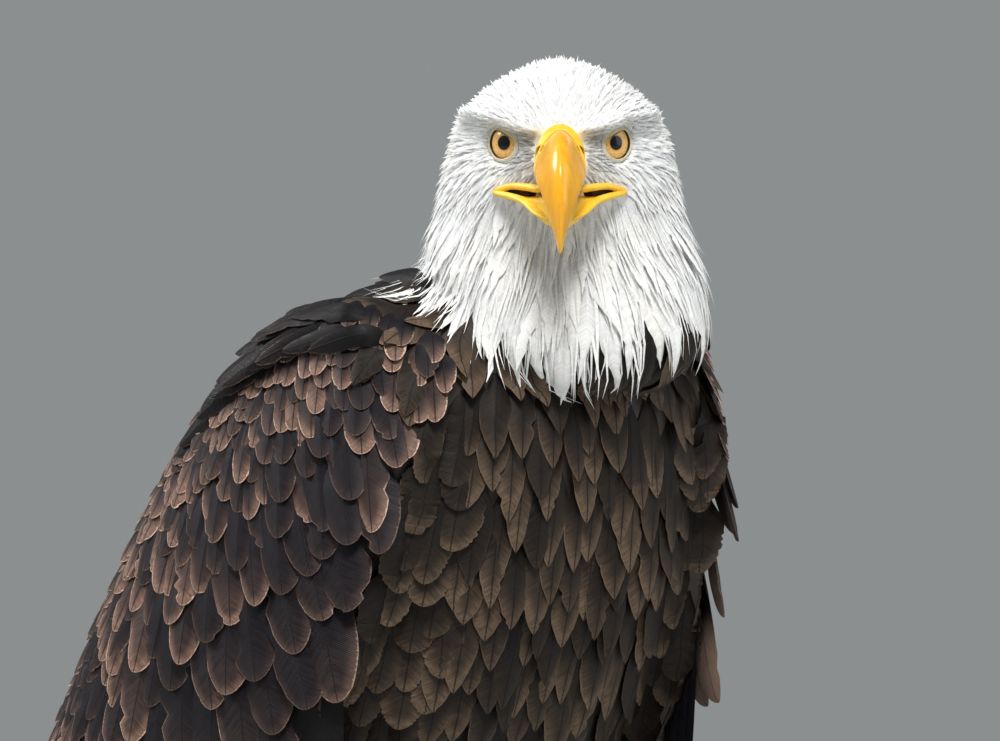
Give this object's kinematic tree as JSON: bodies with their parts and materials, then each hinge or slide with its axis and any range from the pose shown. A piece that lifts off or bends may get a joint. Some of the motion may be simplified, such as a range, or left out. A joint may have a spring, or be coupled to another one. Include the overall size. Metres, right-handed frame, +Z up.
{
  "type": "bald eagle",
  "caption": "Life-size still model of an adult bald eagle standing with folded wings, head turned, white head and tail, yellow hooked bill.",
  "frame": {"origin": "on the floor, under the middle of the bird's outline", "axes": "+Z up, -Y the way the breast faces, -X the bird's right side; X is the shortest extent"},
  "size_m": [0.2408, 0.5274, 0.628],
  "materials": {
    "white_plumage": "soft white feathers",
    "brown_plumage": "dark brown feathers with paler edges",
    "bill_horn": "smooth yellow-orange horn, satin gloss",
    "cere_skin": "soft bright yellow skin",
    "leg_skin": "yellow scaled skin",
    "talon_horn": "black polished horn",
    "eye": "wet amber iris round a black pupil"
  },
  "bodies": {
    "root": {"head": "white_plumage", "neck": "white_plumage", "cere": "cere_skin", "bill_upper": "bill_horn", "bill_lower": "bill_horn", "eye_right": "eye", "eye_left": "eye", "trunk": "brown_plumage", "wing_right": "brown_plumage", "wing_left": "brown_plumage", "secondaries_right": "brown_plumage", "secondaries_left": "brown_plumage", "primaries_right": "brown_plumage", "primaries_left": "brown_plumage", "thigh_right": "brown_plumage", "thigh_left": "brown_plumage", "tarsus_right": "leg_skin", "tarsus_left": "leg_skin", "foot_right": "leg_skin", "foot_left": "leg_skin", "talon_right_inner": "talon_horn", "talon_right_middle": "talon_horn", "talon_right_outer": "talon_horn", "talon_right_hind": "talon_horn", "talon_left_inner": "talon_horn", "talon_left_middle": "talon_horn", "talon_left_outer": "talon_horn", "talon_left_hind": "talon_horn", "tail": "white_plumage"}
  },
  "joints": []
}
